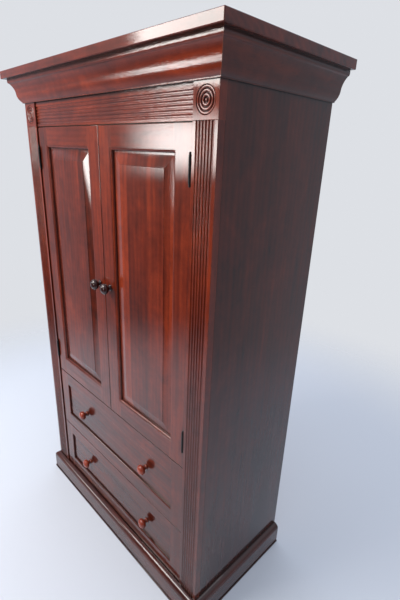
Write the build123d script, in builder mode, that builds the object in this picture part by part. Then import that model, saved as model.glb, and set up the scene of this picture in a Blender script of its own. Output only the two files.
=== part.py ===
from build123d import *
import os

# Armoire: two framed doors over two full-width drawers, between fluted pilasters.
# Millimetres. +Z up, the front faces -Y, the origin is under the middle of the top board's outline.

os.makedirs("parts", exist_ok=True)

# ---- Overall sizes ----
overall_height = 2000.0
carcase_width = 1102.0
carcase_depth = 521.0

# ---- Top board and crown ----
top_thickness = 28.0
top_side_overhang = 62.0
top_front_overhang = 63.0
top_edge_round = 2.5
crown_height = 86.0
crown_foot = 6.5
crown_foot_lip = 3.0
crown_reed_height = 30.0
crown_reed_bulge = 2.8
crown_waist = 22.0
crown_cove_hollow = 3.8
crown_shoulder = 39.0
crown_nose_height = 16.0
crown_nose_bulge = 1.9
crown_fillet_height = 8.0
crown_projection = 44.5
crown_lap = 2.0

# ---- Boards of the carcase ----
side_thickness = 20.0
board_thickness = 20.0
back_thickness = 8.0
back_rabbet = 10.0

# ---- Front frame ----
pilaster_width = 90.0
pilaster_thickness = 25.0
front_setback = 5.0
outer_edge_round = 3.0
inner_edge_round = 1.2
flute_count = 6
flute_pitch = 11.2
flute_width = 9.0
flute_depth = 2.6
frieze_lower_band = 8.0

# ---- Turned roundel in each corner block ----
roundel_radius = 34.5
roundel_depth = 4.5
roundel_ring_radii = (11.2, 20.8, 30.0)
roundel_ring_half = 4.3
roundel_button = 5.4
roundel_crest = 0.3
cutter_clear = 1.0

# ---- Base ----
base_plate_thickness = 8.0
base_plate_projection = 26.5
base_height = 103.0
base_projection = 23.0

# ---- Levels of the openings, above the floor ----
door_drawer_line = 682.0
drawer_line = 375.0
reveal = 3.0

# ---- Doors and drawer fronts ----
bump_gap = 1.0
stile_width = 65.0
door_top_rail = 66.0
door_bottom_rail = 76.0
upper_drawer_rail = 67.0
lower_drawer_rail = 57.0
front_edge_round = 1.5
sticking_step = 1.0
sticking_round = 8.0
sticking_wall = 1.5
drawer_bevel = 2.5
drawer_panel_depth = 8.0
panel_groove = 8.0
panel_slack = 1.0
panel_tongue = 6.0
panel_rim = 6.0
panel_bevel = 36.0
panel_field_step = 1.2
panel_field_depth = 2.2

# ---- Hinges ----
hinge_height = 76.0
hinge_inset = 115.0
knuckle_radius = 4.2
knuckle_count = 5
knuckle_gap = 0.3
knuckle_side_gap = 0.3
knuckle_stand_off = 0.5
leaf_thickness = 1.5
leaf_width = 18.0
pin_radius = 2.4
pin_clearance = 0.05
pin_tip_radius = 3.4

# ---- Knobs ----
knob_projection = 38.0
knob_head_radius = 20.5
knob_rim_setback = 12.0
knob_shoulder_radius = 15.6
knob_shoulder_drop = 3.2
knob_under_radius = 15.0
knob_under_drop = 22.0
knob_neck_radius = 8.0
knob_neck_height = 10.0
knob_foot_radius = 12.0
knob_foot_height = 2.0
door_knob_inset = 33.0
drawer_knob_spread = 232.0
screw_radius = 2.0
screw_clearance = 0.1
screw_bite = 16.0
screw_tip_gap = 1.0
screw_head_radius = 4.5
screw_head_height = 2.5

# ---- Drawer boxes and their runners ----
box_wall = 12.0
box_rear_clearance = 30.0
box_head_clearance = 38.0
box_back_drop = 10.0
box_bottom_thickness = 5.0
box_bottom_lift = 10.0
box_groove = 5.0
box_groove_slack = 0.5
box_side_gap = 8.0
guide_gap = 1.0
guide_width = 20.0
guide_height = 20.0
slide_gap = 0.5
wear_strip = 8.0
runner_bearing = 30.0
divider_rail_depth = 60.0

# ---- Inside the wardrobe ----
shelf_thickness = 18.0
shelf_drop = 226.0
shelf_side_gap = 1.0
shelf_setback = 25.0
pin_hole_radius = 2.5
shelf_pin_length = 18.0
shelf_pin_bite = 9.0
shelf_pin_spacing = 64.0
shelf_pin_inset = 60.0
rod_radius = 14.0
rod_drop = 55.0
rod_clearance = 0.2
rod_end_gap = 2.0
socket_radius = 22.0
socket_length = 12.0
stop_thickness = 20.0
stop_height = 55.0
stop_overlap = 15.0
catch_width = 40.0
catch_height = 12.0
catch_depth = 18.0
catch_offset = 45.0
strike_thickness = 0.6
strike_height = 14.0

# ---- Places worked out from the sizes ----
half_width = carcase_width / 2
inner_half = half_width - side_thickness
opening_half = half_width - pilaster_width
rear_y = (carcase_depth + top_front_overhang) / 2
face_y = rear_y - carcase_depth
front_y = face_y + front_setback
frame_back_y = face_y + pilaster_thickness
runner_front = frame_back_y + divider_rail_depth
front_back_y = frame_back_y - bump_gap
front_thickness = front_back_y - front_y
back_panel_y = rear_y - back_thickness
top_underside = overall_height - top_thickness
crown_foot_z = top_underside - crown_height
block_top = crown_foot_z + crown_lap
opening_head = block_top - pilaster_width
ceiling_z = block_top - board_thickness
wardrobe_floor_top = door_drawer_line + board_thickness / 2
divider_top = drawer_line + board_thickness / 2
door_bottom = door_drawer_line + reveal / 2
door_top = opening_head - reveal
door_outer = opening_half - reveal
door_inner = reveal / 2
hinge_x = opening_half - knuckle_radius - knuckle_side_gap
hinge_y = front_y - knuckle_stand_off - knuckle_radius
door_knob_x = door_inner + door_knob_inset
door_knob_z = (door_bottom + door_top) / 2
box_half = opening_half - box_side_gap
shelf_level = opening_head - shelf_drop
rod_z = shelf_level - rod_drop
stop_bottom = opening_head - stop_overlap
sides = {"left": -1, "right": 1}


def save(piece, name):
    """Labels a finished piece and writes it."""
    piece.part.label = name
    export_step(piece.part, f"parts/{name}.step")


def block(corner, opposite, mode=Mode.ADD):
    """A rectangular block between two opposite corners."""
    low = [min(a, b) for a, b in zip(corner, opposite)]
    high = [max(a, b) for a, b in zip(corner, opposite)]
    centre = tuple((a + b) / 2 for a, b in zip(low, high))
    with Locations(centre):
        Box(*[b - a for a, b in zip(low, high)], mode=mode)


def board(name, corner, opposite):
    """A plain board between two opposite corners."""
    with BuildPart() as piece:
        block(corner, opposite)
    save(piece, name)


# ---- Base: a plate on the floor, a rail between the pilasters, and a mitred moulding ----

board(
    "base_plate",
    (-half_width - base_plate_projection, face_y - base_plate_projection, 0),
    (half_width + base_plate_projection, rear_y, base_plate_thickness),
)

board(
    "plinth_rail",
    (-opening_half, face_y, base_plate_thickness),
    (opening_half, frame_back_y, base_height),
)

board(
    "bottom_board",
    (-inner_half, frame_back_y, base_height - board_thickness),
    (inner_half, back_panel_y, base_height),
)


# Section of the base moulding: flat face below, quarter round above. X is outwards, Y is up.
with BuildLine() as base_section:
    Line((0, base_plate_thickness), (base_projection, base_plate_thickness))
    Line((base_projection, base_plate_thickness), (base_projection, base_height - base_projection))
    RadiusArc((base_projection, base_height - base_projection), (0, base_height), -base_projection)
    Line((0, base_height), (0, base_plate_thickness))

# Section of the crown: a foot, a convex reed, a cove and a nose under the top board.
crown_reed_z = crown_foot_z + crown_foot_lip
crown_cove_z = crown_foot_z + crown_reed_height
crown_nose_z = top_underside - crown_nose_height
crown_fillet_z = top_underside - crown_fillet_height
with BuildLine() as crown_section:
    Line((0, crown_foot_z), (crown_foot, crown_foot_z))
    Line((crown_foot, crown_foot_z), (crown_foot, crown_reed_z))
    SagittaArc((crown_foot, crown_reed_z), (crown_waist, crown_cove_z), -crown_reed_bulge)
    SagittaArc((crown_waist, crown_cove_z), (crown_shoulder, crown_nose_z), crown_cove_hollow)
    SagittaArc((crown_shoulder, crown_nose_z), (crown_projection, crown_fillet_z), -crown_nose_bulge)
    Line((crown_projection, crown_fillet_z), (crown_projection, top_underside))
    Line((crown_projection, top_underside), (0, top_underside))
    Line((0, top_underside), (0, crown_foot_z))


def front_moulding(name, section, projection):
    """The length along the front, mitred at both ends."""
    along_front = Plane(origin=(0, face_y, 0), x_dir=(0, -1, 0), z_dir=(-1, 0, 0))
    with BuildPart() as piece:
        with BuildSketch(along_front):
            make_face(section.edges())
        extrude(amount=half_width + projection, both=True)
        for sign in sides.values():
            mitre = Plane(origin=(sign * half_width, face_y, 0), z_dir=(sign, 1, 0))
            split(bisect_by=mitre, keep=Keep.BOTTOM)
    save(piece, name)


def side_moulding(name, section, projection, sign):
    """The length along one side, mitred at its front end and square at the back."""
    along_side = Plane(origin=(sign * half_width, rear_y, 0), x_dir=(sign, 0, 0), z_dir=(0, -sign, 0))
    with BuildPart() as piece:
        with BuildSketch(along_side):
            make_face(section.edges())
        extrude(amount=sign * (carcase_depth + projection))
        mitre = Plane(origin=(sign * half_width, face_y, 0), z_dir=(sign, 1, 0))
        split(bisect_by=mitre, keep=Keep.TOP)
    save(piece, name)


front_moulding("base_moulding_front", base_section, base_projection)
for side, sign in sides.items():
    side_moulding(f"base_moulding_{side}", base_section, base_projection, sign)


# ---- Sides, back and fixed boards ----

shelf_pin_rows = (frame_back_y + shelf_pin_inset, back_panel_y - shelf_pin_inset)
shelf_pin_z = shelf_level - pin_hole_radius

for side, sign in sides.items():
    with BuildPart() as side_panel:
        block(
            (sign * inner_half, frame_back_y, base_plate_thickness),
            (sign * half_width, rear_y, top_underside),
        )
        block(
            (sign * inner_half, back_panel_y, base_plate_thickness),
            (sign * (inner_half + back_rabbet), rear_y, top_underside),
            mode=Mode.SUBTRACT,
        )
        for row_y in shelf_pin_rows:
            for step in (-1, 0, 1):
                hole_plane = Plane(
                    origin=(sign * inner_half, row_y, shelf_pin_z + step * shelf_pin_spacing),
                    z_dir=(sign, 0, 0),
                )
                with BuildSketch(hole_plane):
                    Circle(pin_hole_radius)
                extrude(amount=shelf_pin_bite, mode=Mode.SUBTRACT)
    save(side_panel, f"{side}_side")

board(
    "back_panel",
    (-inner_half - back_rabbet, back_panel_y, base_plate_thickness),
    (inner_half + back_rabbet, rear_y, top_underside),
)

board(
    "wardrobe_floor",
    (-inner_half, frame_back_y, wardrobe_floor_top - board_thickness),
    (inner_half, back_panel_y, wardrobe_floor_top),
)

board(
    "ceiling_board",
    (-inner_half, frame_back_y, ceiling_z),
    (inner_half, back_panel_y, ceiling_z + board_thickness),
)

board(
    "drawer_divider_rail",
    (-inner_half, frame_back_y, divider_top - board_thickness),
    (inner_half, runner_front, divider_top),
)


# ---- Fluted pilasters and frieze, corner blocks and head rail ----

flute_radius = (flute_depth**2 + (flute_width / 2) ** 2) / (2 * flute_depth)
flute_offsets = [(i - (flute_count - 1) / 2) * flute_pitch for i in range(flute_count)]

for side, sign in sides.items():
    middle_x = sign * (opening_half + pilaster_width / 2)
    with BuildPart() as pilaster:
        block(
            (sign * opening_half, face_y, base_plate_thickness),
            (sign * half_width, frame_back_y, opening_head),
        )
        upright = pilaster.edges().filter_by(Axis.Z).group_by(Axis.Y)[0].sort_by(Axis.X)
        fillet(upright[-1] if sign > 0 else upright[0], radius=outer_edge_round)
        upright = pilaster.edges().filter_by(Axis.Z).group_by(Axis.Y)[0].sort_by(Axis.X)
        fillet(upright[0] if sign > 0 else upright[-1], radius=inner_edge_round)
        with BuildSketch(Plane.XY.offset(base_plate_thickness)):
            with Locations([(middle_x + x, face_y + flute_depth - flute_radius) for x in flute_offsets]):
                Circle(flute_radius)
        extrude(amount=opening_head - base_plate_thickness, mode=Mode.SUBTRACT)
    save(pilaster, f"{side}_pilaster")

first_flute_z = opening_head + frieze_lower_band + flute_width / 2
frieze_section = Plane(origin=(-opening_half, 0, 0), x_dir=(0, 1, 0), z_dir=(1, 0, 0))
with BuildPart() as frieze:
    block((-opening_half, front_y, opening_head), (opening_half, frame_back_y, block_top))
    with BuildSketch(frieze_section):
        flute_y = front_y + flute_depth - flute_radius
        with Locations([(flute_y, first_flute_z + i * flute_pitch) for i in range(flute_count)]):
            Circle(flute_radius)
    extrude(amount=2 * opening_half, mode=Mode.SUBTRACT)
save(frieze, "frieze")


# Section of what the lathe takes away. X is the distance from the centre, Y goes into the wood.
with BuildLine() as roundel_air:
    Line((0, -cutter_clear), (0, roundel_crest))
    TangentArc((0, roundel_crest), (roundel_button, roundel_depth), tangent=(1, 0))
    groove_start = roundel_button
    for radius in roundel_ring_radii:
        Line((groove_start, roundel_depth), (radius - roundel_ring_half, roundel_depth))
        ThreePointArc(
            (radius - roundel_ring_half, roundel_depth),
            (radius, roundel_crest),
            (radius + roundel_ring_half, roundel_depth),
        )
        groove_start = radius + roundel_ring_half
    Line((groove_start, roundel_depth), (roundel_radius, -cutter_clear))
    Line((roundel_radius, -cutter_clear), (0, -cutter_clear))

with BuildPart() as corner_blocks:
    for sign in sides.values():
        block((sign * opening_half, face_y, opening_head), (sign * half_width, frame_back_y, block_top))
    for sign in sides.values():
        centre = (sign * (opening_half + pilaster_width / 2), face_y, opening_head + pilaster_width / 2)
        with BuildSketch(Plane(origin=centre, x_dir=(1, 0, 0), z_dir=(0, 0, 1))):
            make_face(roundel_air.edges())
        revolve(axis=Axis(centre, (0, 1, 0)), mode=Mode.SUBTRACT)
save(corner_blocks, "corner_blocks")

board("head_rail", (-half_width, face_y, block_top), (half_width, frame_back_y, top_underside))

front_moulding("crown_front", crown_section, crown_projection)
for side, sign in sides.items():
    side_moulding(f"crown_{side}", crown_section, crown_projection, sign)

with BuildPart() as top_board:
    block(
        (-half_width - top_side_overhang, face_y - top_front_overhang, top_underside),
        (half_width + top_side_overhang, rear_y, overall_height),
    )
    fillet(top_board.edges().group_by(Axis.Z)[-1], radius=top_edge_round)
    fillet(top_board.faces().sort_by(Axis.Z)[0].edges(), radius=top_edge_round)
save(top_board, "top_board")


# ---- Framed fronts: doors and drawer fronts ----


def hollow(limits, start, end):
    """Takes away a rectangle (x0, z0, x1, z1) between two depths behind the front's face."""
    block(
        (limits[0], front_y + start, limits[1]),
        (limits[2], front_y + end, limits[3]),
        mode=Mode.SUBTRACT,
    )


def front_blank(outline, edge, moulded):
    """The whole frame of a front before it is parted into stiles and rails."""
    block((outline[0], front_y, outline[1]), (outline[2], front_back_y, outline[3]))
    clear = clear_of(edge, moulded)
    hollow(clear, 0, front_thickness)
    if moulded:
        hollow(edge, 0, sticking_step)
    facing = faces().filter_by(Axis.Y).sort_by(Axis.Y)
    rim = facing[1 if moulded else 0].inner_wires().edges()
    if moulded:
        fillet(rim, radius=sticking_round)
    else:
        chamfer(rim, length=drawer_bevel)
    outer = faces().filter_by(Axis.Y).sort_by(Axis.Y)[0].outer_wire().edges()
    fillet(outer, radius=front_edge_round)
    depth = panel_depth(moulded)
    hollow(grown(clear, panel_groove), depth, depth + panel_tongue)


def clear_of(edge, moulded):
    """The opening between the stiles and rails, inside their moulded edges."""
    return grown(edge, -sticking_round - sticking_wall) if moulded else edge


def grown(limits, margin):
    """A rectangle (x0, z0, x1, z1) made larger all round."""
    return (limits[0] - margin, limits[1] - margin, limits[2] + margin, limits[3] + margin)


def panel_depth(moulded):
    """How far behind the face the panel's groove starts."""
    return sticking_step + sticking_round + sticking_wall if moulded else drawer_panel_depth


def framed_front(outline, bottom_rail, top_rail, moulded):
    """Stiles, rails and panel of a front whose outline is (x0, z0, x1, z1)."""
    x0, z0, x1, z1 = outline
    edge = (x0 + stile_width, z0 + bottom_rail, x1 - stile_width, z1 - top_rail)
    clear = clear_of(edge, moulded)
    between_low = (clear[0], front_y, z0)
    between_high = (clear[2], front_back_y, z1)
    with BuildPart() as stiles:
        front_blank(outline, edge, moulded)
        block(between_low, between_high, mode=Mode.SUBTRACT)
    with BuildPart() as rails:
        front_blank(outline, edge, moulded)
        block(between_low, between_high, mode=Mode.INTERSECT)
    start = front_y + panel_depth(moulded)
    tongue = grown(clear, panel_groove - panel_slack)
    with BuildPart() as panel:
        block((tongue[0], start, tongue[1]), (tongue[2], start + panel_tongue, tongue[3]))
        if moulded:
            foot = grown(clear, -panel_rim)
            field = grown(foot, -panel_bevel)
            step_y = front_y + panel_field_depth + panel_field_step
            with BuildSketch(facing_plane(start)):
                rectangle_of(foot)
            with BuildSketch(facing_plane(step_y)):
                rectangle_of(field)
            loft()
            block((field[0], step_y - panel_field_step, field[1]), (field[2], start, field[3]))
    return stiles, rails, panel


def facing_plane(y):
    """A plane parallel to the front, with X to the right and Y up."""
    return Plane(origin=(0, y, 0), x_dir=(1, 0, 0), z_dir=(0, -1, 0))


def rectangle_of(limits):
    """A rectangle (x0, z0, x1, z1) in a sketch on a facing plane."""
    with Locations(((limits[0] + limits[2]) / 2, (limits[1] + limits[3]) / 2)):
        Rectangle(limits[2] - limits[0], limits[3] - limits[1])


# ---- Turned knobs, with the screw that holds each from behind ----


def knob(x, y, z):
    """A turned knob standing out of a surface at (x, y, z), bored for its screw."""
    foot_edge = (knob_foot_radius, -knob_foot_height)
    neck = (knob_neck_radius, -knob_neck_height)
    under = (knob_under_radius, knob_under_drop - knob_projection)
    rim = (knob_head_radius, knob_rim_setback - knob_projection)
    shoulder = (knob_shoulder_radius, knob_shoulder_drop - knob_projection)
    tip = (0, -knob_projection)
    with BuildSketch(Plane(origin=(x, y, z), x_dir=(1, 0, 0), z_dir=(0, 0, 1))) as section:
        with BuildLine():
            Line((0, 0), (knob_foot_radius, 0))
            Line((knob_foot_radius, 0), foot_edge)
            TangentArc(neck, foot_edge, tangent=(0, 1))
            TangentArc(neck, under, tangent=(0, -1))
            ThreePointArc(under, rim, shoulder)
            TangentArc(tip, shoulder, tangent=(1, 0))
            Line(tip, (0, 0))
        make_face()
    revolve(section.sketch, axis=Axis((x, y, z), (0, 1, 0)))
    drill(x, z, y - screw_bite, y, screw_radius + screw_clearance)


def drill(x, z, start, end, radius):
    """Takes away a round hole along Y."""
    rod_along_y(x, z, start, end, radius, mode=Mode.SUBTRACT)


def rod_along_y(x, z, start, end, radius, mode=Mode.ADD):
    """A round bar along Y between two depths."""
    with BuildSketch(facing_plane(end)) as disc:
        with Locations((x, z)):
            Circle(radius)
    extrude(disc.sketch, amount=end - start, mode=mode)


def rod_along_z(x, y, bottom, top, radius, mode=Mode.ADD):
    """A round bar along Z between two heights."""
    with BuildSketch(Plane.XY.offset(bottom)) as disc:
        with Locations((x, y)):
            Circle(radius)
    extrude(disc.sketch, amount=top - bottom, mode=mode)


def knob_screw(x, z, back, tip):
    """A pan-head screw whose head bears on the back of the front."""
    rod_along_y(x, z, tip, back, screw_radius)
    rod_along_y(x, z, back, back + screw_head_height, screw_head_radius)


# ---- Hinges: five knuckles on a pin, one leaf in the door's edge, one on the pilaster ----

hinge_levels = (door_bottom + hinge_inset, door_top - hinge_inset)
knuckle_height = (hinge_height - (knuckle_count - 1) * knuckle_gap) / knuckle_count


def hinge_leaf(sign, level, leaf_inner, leaf_outer, odd):
    """A leaf plate between two distances from the middle, with its knuckles."""
    bottom = level - hinge_height / 2
    block(
        (sign * leaf_inner, front_y, bottom),
        (sign * leaf_outer, front_y + leaf_width, bottom + hinge_height),
    )
    for index in range(odd, knuckle_count, 2):
        z = bottom + index * (knuckle_height + knuckle_gap)
        rod_along_z(sign * hinge_x, hinge_y, z, z + knuckle_height, knuckle_radius)
        block((sign * leaf_inner, hinge_y, z), (sign * leaf_outer, front_y, z + knuckle_height))
    bore = pin_radius + pin_clearance
    rod_along_z(sign * hinge_x, hinge_y, bottom, bottom + hinge_height, bore, mode=Mode.SUBTRACT)


with BuildPart() as frame_hinge_leaves:
    for sign in sides.values():
        for level in hinge_levels:
            hinge_leaf(sign, level, opening_half - leaf_thickness, opening_half, 0)
save(frame_hinge_leaves, "frame_hinge_leaves")

with BuildPart() as hinge_pins:
    for sign in sides.values():
        for level in hinge_levels:
            reach = hinge_height / 2 + knuckle_gap + pin_tip_radius
            rod_along_z(sign * hinge_x, hinge_y, level - reach, level + reach, pin_radius)
            with Locations([(sign * hinge_x, hinge_y, level + end * reach) for end in (-1, 1)]):
                Sphere(pin_tip_radius)
save(hinge_pins, "hinge_pins")


# ---- Two doors ----

for side, sign in sides.items():
    low_x, high_x = sorted((sign * door_inner, sign * door_outer))
    outline = (low_x, door_bottom, high_x, door_top)
    stiles, rails, panel = framed_front(outline, door_bottom_rail, door_top_rail, True)
    with BuildPart() as door_stiles:
        add(stiles.part)
        for level in hinge_levels:
            block(
                (sign * (door_outer - leaf_thickness), front_y, level - hinge_height / 2),
                (sign * door_outer, front_y + leaf_width, level + hinge_height / 2),
                mode=Mode.SUBTRACT,
            )
        drill(sign * door_knob_x, door_knob_z, front_y, front_back_y, screw_radius + screw_clearance)
    save(door_stiles, f"{side}_door_stiles")
    save(rails, f"{side}_door_rails")
    save(panel, f"{side}_door_panel")

    with BuildPart() as door_leaves:
        for level in hinge_levels:
            hinge_leaf(sign, level, door_outer - leaf_thickness, door_outer, 1)
    save(door_leaves, f"{side}_door_hinge_leaves")

    with BuildPart() as door_knob:
        knob(sign * door_knob_x, front_y, door_knob_z)
    save(door_knob, f"{side}_door_knob")

    with BuildPart() as door_knob_screw:
        knob_screw(sign * door_knob_x, door_knob_z, front_back_y, front_y - screw_bite + screw_tip_gap)
    save(door_knob_screw, f"{side}_door_knob_screw")

    with BuildPart() as strike:
        block(
            (sign * (catch_offset - catch_width / 2), front_back_y, stop_bottom - strike_height),
            (sign * (catch_offset + catch_width / 2), front_back_y + strike_thickness, stop_bottom),
        )
    save(strike, f"{side}_door_strike")


# ---- Two drawers ----


def drawer(name, front_bottom, front_top, rail, box_bottom, ceiling):
    """A framed front with two knobs on a box that slides on its side edges."""
    outline = (-door_outer, front_bottom, door_outer, front_top)
    stiles, rails, panel = framed_front(outline, rail, rail, False)
    save(stiles, f"{name}_stiles")
    save(rails, f"{name}_rails")
    middle_z = (front_bottom + front_top) / 2
    panel_face_y = front_y + drawer_panel_depth
    panel_back_y = panel_face_y + panel_tongue
    knob_places = (-drawer_knob_spread, drawer_knob_spread)

    with BuildPart() as drawer_panel:
        add(panel.part)
        for x in knob_places:
            drill(x, middle_z, panel_face_y, panel_back_y, screw_radius + screw_clearance)
    save(drawer_panel, f"{name}_panel")

    with BuildPart() as knobs:
        for x in knob_places:
            knob(x, panel_face_y, middle_z)
    save(knobs, f"{name}_knobs")

    with BuildPart() as knob_screws:
        for x in knob_places:
            knob_screw(x, middle_z, panel_back_y, panel_face_y - screw_bite + screw_tip_gap)
    save(knob_screws, f"{name}_knob_screws")

    box_top = ceiling - box_head_clearance
    bottom_z = box_bottom + box_bottom_lift
    rear = back_panel_y - box_rear_clearance
    inside = box_half - box_wall
    bottom_half = inside + box_groove - box_groove_slack
    with BuildPart() as box_sides:
        for sign in sides.values():
            block((sign * inside, front_back_y, box_bottom), (sign * box_half, rear, box_top))
        block(
            (-inside - box_groove, front_back_y, bottom_z),
            (inside + box_groove, rear, bottom_z + box_bottom_thickness),
            mode=Mode.SUBTRACT,
        )
    save(box_sides, f"{name}_box_sides")

    board(
        f"{name}_box_back",
        (-inside, rear - box_wall, bottom_z + box_bottom_thickness),
        (inside, rear, box_top - box_back_drop),
    )
    board(
        f"{name}_box_bottom",
        (-bottom_half, front_back_y, bottom_z),
        (bottom_half, rear, bottom_z + box_bottom_thickness),
    )


drawer(
    "lower_drawer",
    base_height + reveal,
    drawer_line - reveal / 2,
    lower_drawer_rail,
    base_height + wear_strip + slide_gap,
    divider_top - board_thickness,
)
drawer(
    "upper_drawer",
    drawer_line + reveal / 2,
    door_drawer_line - reveal / 2,
    upper_drawer_rail,
    divider_top + slide_gap,
    wardrobe_floor_top - board_thickness,
)

upper_runner_bottom = divider_top - board_thickness
wear_top = base_height + wear_strip
with BuildPart() as drawer_runners:
    for sign in sides.values():
        bearing = sign * (box_half - runner_bearing)
        guide = sign * (box_half + guide_gap)
        guide_outer = sign * (box_half + guide_gap + guide_width)
        block((bearing, frame_back_y, base_height), (guide_outer, back_panel_y, wear_top))
        block((guide, frame_back_y, base_height), (guide_outer, back_panel_y, wear_top + guide_height))
        block((bearing, runner_front, upper_runner_bottom), (sign * inner_half, back_panel_y, divider_top))
        block((guide, runner_front, divider_top), (guide_outer, back_panel_y, divider_top + guide_height))
save(drawer_runners, "drawer_runners")


# ---- Inside the wardrobe: hat shelf, hanging rod, door stop and catches ----

board(
    "hat_shelf",
    (-inner_half + shelf_side_gap, frame_back_y + shelf_setback, shelf_level),
    (inner_half - shelf_side_gap, back_panel_y - shelf_side_gap, shelf_level + shelf_thickness),
)


def rod_along_x(x0, x1, y, z, radius, mode=Mode.ADD):
    """A round bar along X between two distances from the middle."""
    start, end = sorted((x0, x1))
    with BuildSketch(Plane(origin=(start, y, z), z_dir=(1, 0, 0))) as disc:
        Circle(radius)
    extrude(disc.sketch, amount=end - start, mode=mode)


with BuildPart() as shelf_pins:
    for sign in sides.values():
        for row_y in shelf_pin_rows:
            start_x = sign * (inner_half + shelf_pin_bite)
            end_x = sign * (inner_half + shelf_pin_bite - shelf_pin_length)
            rod_along_x(start_x, end_x, row_y, shelf_pin_z, pin_hole_radius)
save(shelf_pins, "shelf_pins")

rod_y = (frame_back_y + back_panel_y) / 2
with BuildPart() as hanging_rod:
    rod_along_x(-inner_half + rod_end_gap, inner_half - rod_end_gap, rod_y, rod_z, rod_radius)
save(hanging_rod, "hanging_rod")

with BuildPart() as rod_sockets:
    for sign in sides.values():
        rod_along_x(sign * (inner_half - socket_length), sign * inner_half, rod_y, rod_z, socket_radius)
    for sign in sides.values():
        bore = rod_radius + rod_clearance
        mouth = sign * (inner_half - socket_length)
        rod_along_x(mouth, sign * (inner_half - rod_end_gap), rod_y, rod_z, bore, mode=Mode.SUBTRACT)
save(rod_sockets, "rod_sockets")

board(
    "door_stop",
    (-opening_half + reveal, frame_back_y, stop_bottom),
    (opening_half - reveal, frame_back_y + stop_thickness, stop_bottom + stop_height),
)

with BuildPart() as door_catches:
    for sign in sides.values():
        block(
            (sign * (catch_offset - catch_width / 2), frame_back_y, stop_bottom - catch_height),
            (sign * (catch_offset + catch_width / 2), frame_back_y + catch_depth, stop_bottom),
        )
save(door_catches, "door_catches")
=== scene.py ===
from math import atan2, cos, pi, radians, sin

import bmesh
import bpy
from mathutils import Matrix, Vector


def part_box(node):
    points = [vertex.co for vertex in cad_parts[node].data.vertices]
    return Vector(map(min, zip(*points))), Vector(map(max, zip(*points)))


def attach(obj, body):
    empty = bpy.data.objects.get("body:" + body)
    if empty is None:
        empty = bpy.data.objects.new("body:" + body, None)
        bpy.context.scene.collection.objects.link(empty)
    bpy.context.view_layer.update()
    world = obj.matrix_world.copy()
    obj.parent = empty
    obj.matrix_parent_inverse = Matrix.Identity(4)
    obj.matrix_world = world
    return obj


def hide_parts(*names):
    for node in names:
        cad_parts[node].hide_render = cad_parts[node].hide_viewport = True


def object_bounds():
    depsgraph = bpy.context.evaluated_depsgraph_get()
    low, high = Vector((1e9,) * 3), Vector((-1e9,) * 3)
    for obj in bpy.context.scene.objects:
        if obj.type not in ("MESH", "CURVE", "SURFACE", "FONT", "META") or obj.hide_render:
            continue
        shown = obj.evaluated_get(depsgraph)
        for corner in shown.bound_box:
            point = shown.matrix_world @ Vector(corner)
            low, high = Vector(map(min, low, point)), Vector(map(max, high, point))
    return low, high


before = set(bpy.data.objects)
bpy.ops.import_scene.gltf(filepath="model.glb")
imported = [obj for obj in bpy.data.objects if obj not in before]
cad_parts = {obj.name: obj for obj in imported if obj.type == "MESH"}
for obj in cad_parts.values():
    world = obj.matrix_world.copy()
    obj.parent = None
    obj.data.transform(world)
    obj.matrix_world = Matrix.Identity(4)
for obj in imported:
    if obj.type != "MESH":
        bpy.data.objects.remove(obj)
cad_low, cad_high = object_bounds()
scene = bpy.context.scene
scene.view_settings.view_transform = "Standard"
MM = 0.001


# ---- The view ----
# A wide lens near the right front corner, held a little lower than the top board. It looks down and
# is rolled by a couple of degrees, as in a hand.


def add_object(name, data):
    """An object with this mesh, light or camera, put in the scene."""
    made = bpy.data.objects.new(name, data)
    scene.collection.objects.link(made)
    return made


lens = bpy.data.cameras.new("view")
lens.lens = 23.75
lens.sensor_width = 36.0
camera = add_object("view", lens)
turned_left, tipped_down, rolled = radians(44.82), radians(-20.35), radians(2.31)
camera.matrix_world = (
    Matrix.Translation((1.2556, -0.9754, 1.7222))
    @ Matrix.Rotation(turned_left, 4, "Z")
    @ Matrix.Rotation(pi / 2 + tipped_down, 4, "X")
    @ Matrix.Rotation(rolled, 4, "Z")
)
scene.camera = camera


# ---- The light and the floor ----
# A feathered softbox like a window to the left, a wide one above the front, a tall feathered one
# before the doors and one overhead. The pale floor fades out into a pale background.


def add_node(tree, kind, inputs=(), **settings):
    """A node with its settings made and its inputs given as values or as sockets to join."""
    made = tree.nodes.new(kind)
    for key, value in settings.items():
        setattr(made, key, value)
    for key, value in dict(inputs).items():
        if isinstance(value, bpy.types.NodeSocket):
            tree.links.new(value, made.inputs[key])
        else:
            made.inputs[key].default_value = value
    return made


def calculated(tree, operation, *values):
    """The output of a sum with one or two values, each a number or a socket."""
    return add_node(tree, "ShaderNodeMath", dict(enumerate(values)), operation=operation).outputs[0]


def mapped(tree, value, start, end, low, high, smooth=False):
    """A value brought from the range start to end into the range low to high, and held there."""
    way = "SMOOTHSTEP" if smooth else "LINEAR"
    inputs = {0: value, 1: start, 2: end, 3: low, 4: high}
    return add_node(tree, "ShaderNodeMapRange", inputs, interpolation_type=way).outputs[0]


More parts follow.
